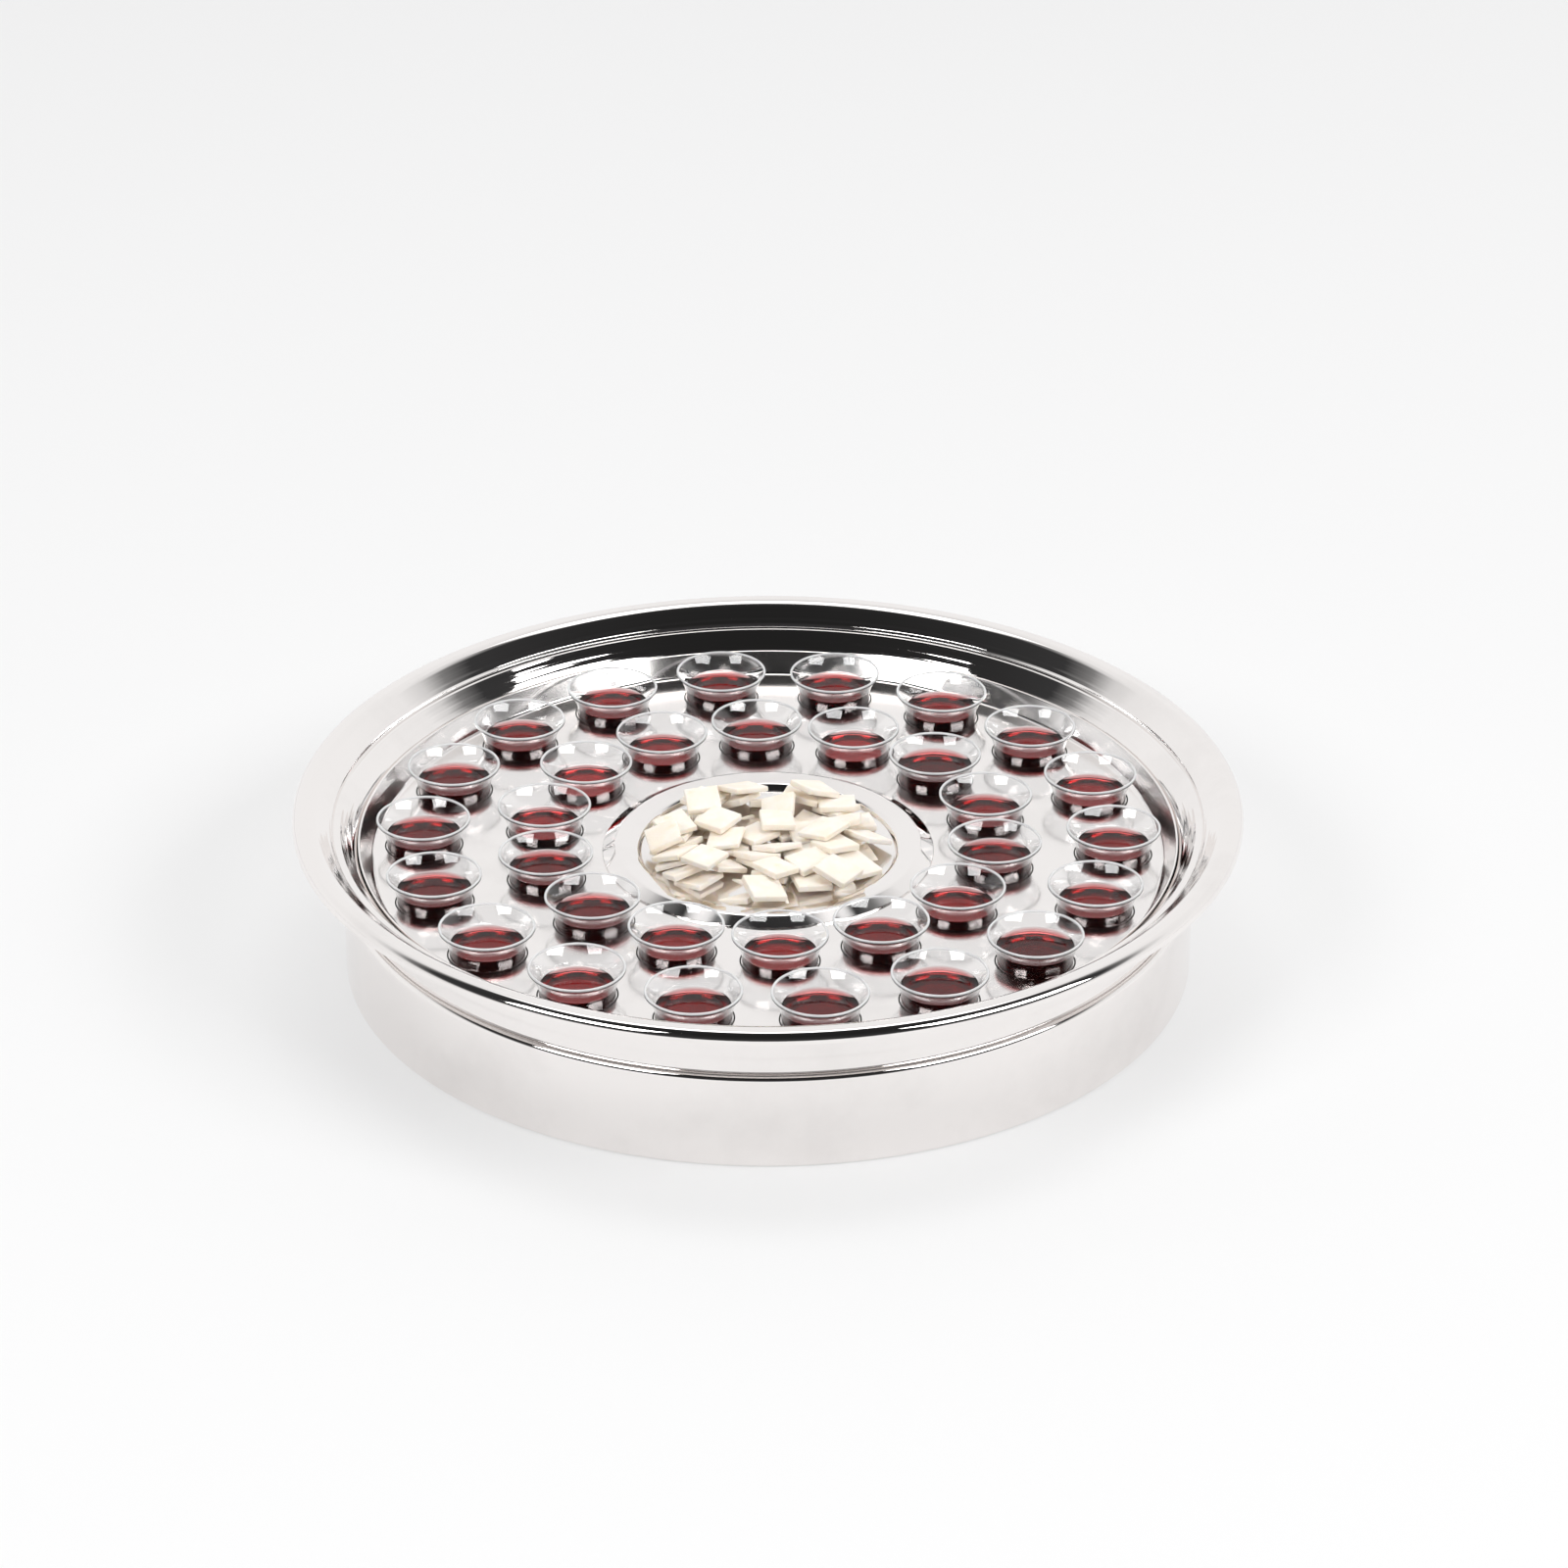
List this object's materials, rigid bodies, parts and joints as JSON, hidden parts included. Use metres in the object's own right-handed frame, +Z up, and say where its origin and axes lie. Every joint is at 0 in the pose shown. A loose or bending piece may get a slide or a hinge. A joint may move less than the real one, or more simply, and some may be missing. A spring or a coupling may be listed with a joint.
{
  "type": "communion cup tray",
  "caption": "Round polished steel tray with a rolled flange and stepped base, a lift-out perforated disc holding rings of clear flared cups, and a shallow centre bowl of bread squares.",
  "frame": {"origin": "centre of the tray's round plan, on the surface that it stands on", "axes": "+Z up along the tray's axis; -Y is the side that faces the camera in the picture; +X is to the right in the picture"},
  "size_m": [0.3138, 0.3138, 0.057],
  "materials": {
    "polished_steel": "polished",
    "clear_cup": "gloss",
    "bread": "matte"
  },
  "bodies": {
    "tray": {"base_drum": "polished_steel", "tray_pan": "polished_steel"},
    "disc": {"cup_disc": "polished_steel"},
    "bowl": {"bread_bowl": "polished_steel", "bread_squares": "bread"},
    "outer_cup_01_body": {"outer_cup_01": "clear_cup"},
    "outer_cup_02_body": {"outer_cup_02": "clear_cup"},
    "outer_cup_03_body": {"outer_cup_03": "clear_cup"},
    "outer_cup_04_body": {"outer_cup_04": "clear_cup"},
    "outer_cup_05_body": {"outer_cup_05": "clear_cup"},
    "outer_cup_06_body": {"outer_cup_06": "clear_cup"},
    "outer_cup_07_body": {"outer_cup_07": "clear_cup"},
    "outer_cup_08_body": {"outer_cup_08": "clear_cup"},
    "outer_cup_09_body": {"outer_cup_09": "clear_cup"},
    "outer_cup_10_body": {"outer_cup_10": "clear_cup"},
    "outer_cup_11_body": {"outer_cup_11": "clear_cup"},
    "outer_cup_12_body": {"outer_cup_12": "clear_cup"},
    "outer_cup_13_body": {"outer_cup_13": "clear_cup"},
    "outer_cup_14_body": {"outer_cup_14": "clear_cup"},
    "outer_cup_15_body": {"outer_cup_15": "clear_cup"},
    "outer_cup_16_body": {"outer_cup_16": "clear_cup"},
    "outer_cup_17_body": {"outer_cup_17": "clear_cup"},
    "outer_cup_18_body": {"outer_cup_18": "clear_cup"},
    "inner_cup_01_body": {"inner_cup_01": "clear_cup"},
    "inner_cup_02_body": {"inner_cup_02": "clear_cup"},
    "inner_cup_03_body": {"inner_cup_03": "clear_cup"},
    "inner_cup_04_body": {"inner_cup_04": "clear_cup"},
    "inner_cup_05_body": {"inner_cup_05": "clear_cup"},
    "inner_cup_06_body": {"inner_cup_06": "clear_cup"},
    "inner_cup_07_body": {"inner_cup_07": "clear_cup"},
    "inner_cup_08_body": {"inner_cup_08": "clear_cup"},
    "inner_cup_09_body": {"inner_cup_09": "clear_cup"},
    "inner_cup_10_body": {"inner_cup_10": "clear_cup"},
    "inner_cup_11_body": {"inner_cup_11": "clear_cup"},
    "inner_cup_12_body": {"inner_cup_12": "clear_cup"},
    "inner_cup_13_body": {"inner_cup_13": "clear_cup"},
    "inner_cup_14_body": {"inner_cup_14": "clear_cup"}
  },
  "joints": [
    {"name": "disc_lift", "type": "slide", "parent": "tray", "child": "disc", "axis": [0, 0, 1], "range_m": [0, 0.05]},
    {"name": "bowl_lift", "type": "slide", "parent": "disc", "child": "bowl", "axis": [0, 0, 1], "range_m": [0, 0.04]},
    {"name": "outer_cup_01_lift", "type": "slide", "parent": "disc", "child": "outer_cup_01_body", "axis": [0, 0, 1], "range_m": [0, 0.05]},
    {"name": "outer_cup_02_lift", "type": "slide", "parent": "disc", "child": "outer_cup_02_body", "axis": [0, 0, 1], "range_m": [0, 0.05]},
    {"name": "outer_cup_03_lift", "type": "slide", "parent": "disc", "child": "outer_cup_03_body", "axis": [0, 0, 1], "range_m": [0, 0.05]},
    {"name": "outer_cup_04_lift", "type": "slide", "parent": "disc", "child": "outer_cup_04_body", "axis": [0, 0, 1], "range_m": [0, 0.05]},
    {"name": "outer_cup_05_lift", "type": "slide", "parent": "disc", "child": "outer_cup_05_body", "axis": [0, 0, 1], "range_m": [0, 0.05]},
    {"name": "outer_cup_06_lift", "type": "slide", "parent": "disc", "child": "outer_cup_06_body", "axis": [0, 0, 1], "range_m": [0, 0.05]},
    {"name": "outer_cup_07_lift", "type": "slide", "parent": "disc", "child": "outer_cup_07_body", "axis": [0, 0, 1], "range_m": [0, 0.05]},
    {"name": "outer_cup_08_lift", "type": "slide", "parent": "disc", "child": "outer_cup_08_body", "axis": [0, 0, 1], "range_m": [0, 0.05]},
    {"name": "outer_cup_09_lift", "type": "slide", "parent": "disc", "child": "outer_cup_09_body", "axis": [0, 0, 1], "range_m": [0, 0.05]},
    {"name": "outer_cup_10_lift", "type": "slide", "parent": "disc", "child": "outer_cup_10_body", "axis": [0, 0, 1], "range_m": [0, 0.05]},
    {"name": "outer_cup_11_lift", "type": "slide", "parent": "disc", "child": "outer_cup_11_body", "axis": [0, 0, 1], "range_m": [0, 0.05]},
    {"name": "outer_cup_12_lift", "type": "slide", "parent": "disc", "child": "outer_cup_12_body", "axis": [0, 0, 1], "range_m": [0, 0.05]},
    {"name": "outer_cup_13_lift", "type": "slide", "parent": "disc", "child": "outer_cup_13_body", "axis": [0, 0, 1], "range_m": [0, 0.05]},
    {"name": "outer_cup_14_lift", "type": "slide", "parent": "disc", "child": "outer_cup_14_body", "axis": [0, 0, 1], "range_m": [0, 0.05]},
    {"name": "outer_cup_15_lift", "type": "slide", "parent": "disc", "child": "outer_cup_15_body", "axis": [0, 0, 1], "range_m": [0, 0.05]},
    {"name": "outer_cup_16_lift", "type": "slide", "parent": "disc", "child": "outer_cup_16_body", "axis": [0, 0, 1], "range_m": [0, 0.05]},
    {"name": "outer_cup_17_lift", "type": "slide", "parent": "disc", "child": "outer_cup_17_body", "axis": [0, 0, 1], "range_m": [0, 0.05]},
    {"name": "outer_cup_18_lift", "type": "slide", "parent": "disc", "child": "outer_cup_18_body", "axis": [0, 0, 1], "range_m": [0, 0.05]},
    {"name": "inner_cup_01_lift", "type": "slide", "parent": "disc", "child": "inner_cup_01_body", "axis": [0, 0, 1], "range_m": [0, 0.05]},
    {"name": "inner_cup_02_lift", "type": "slide", "parent": "disc", "child": "inner_cup_02_body", "axis": [0, 0, 1], "range_m": [0, 0.05]},
    {"name": "inner_cup_03_lift", "type": "slide", "parent": "disc", "child": "inner_cup_03_body", "axis": [0, 0, 1], "range_m": [0, 0.05]},
    {"name": "inner_cup_04_lift", "type": "slide", "parent": "disc", "child": "inner_cup_04_body", "axis": [0, 0, 1], "range_m": [0, 0.05]},
    {"name": "inner_cup_05_lift", "type": "slide", "parent": "disc", "child": "inner_cup_05_body", "axis": [0, 0, 1], "range_m": [0, 0.05]},
    {"name": "inner_cup_06_lift", "type": "slide", "parent": "disc", "child": "inner_cup_06_body", "axis": [0, 0, 1], "range_m": [0, 0.05]},
    {"name": "inner_cup_07_lift", "type": "slide", "parent": "disc", "child": "inner_cup_07_body", "axis": [0, 0, 1], "range_m": [0, 0.05]},
    {"name": "inner_cup_08_lift", "type": "slide", "parent": "disc", "child": "inner_cup_08_body", "axis": [0, 0, 1], "range_m": [0, 0.05]},
    {"name": "inner_cup_09_lift", "type": "slide", "parent": "disc", "child": "inner_cup_09_body", "axis": [0, 0, 1], "range_m": [0, 0.05]},
    {"name": "inner_cup_10_lift", "type": "slide", "parent": "disc", "child": "inner_cup_10_body", "axis": [0, 0, 1], "range_m": [0, 0.05]},
    {"name": "inner_cup_11_lift", "type": "slide", "parent": "disc", "child": "inner_cup_11_body", "axis": [0, 0, 1], "range_m": [0, 0.05]},
    {"name": "inner_cup_12_lift", "type": "slide", "parent": "disc", "child": "inner_cup_12_body", "axis": [0, 0, 1], "range_m": [0, 0.05]},
    {"name": "inner_cup_13_lift", "type": "slide", "parent": "disc", "child": "inner_cup_13_body", "axis": [0, 0, 1], "range_m": [0, 0.05]},
    {"name": "inner_cup_14_lift", "type": "slide", "parent": "disc", "child": "inner_cup_14_body", "axis": [0, 0, 1], "range_m": [0, 0.05]}
  ]
}
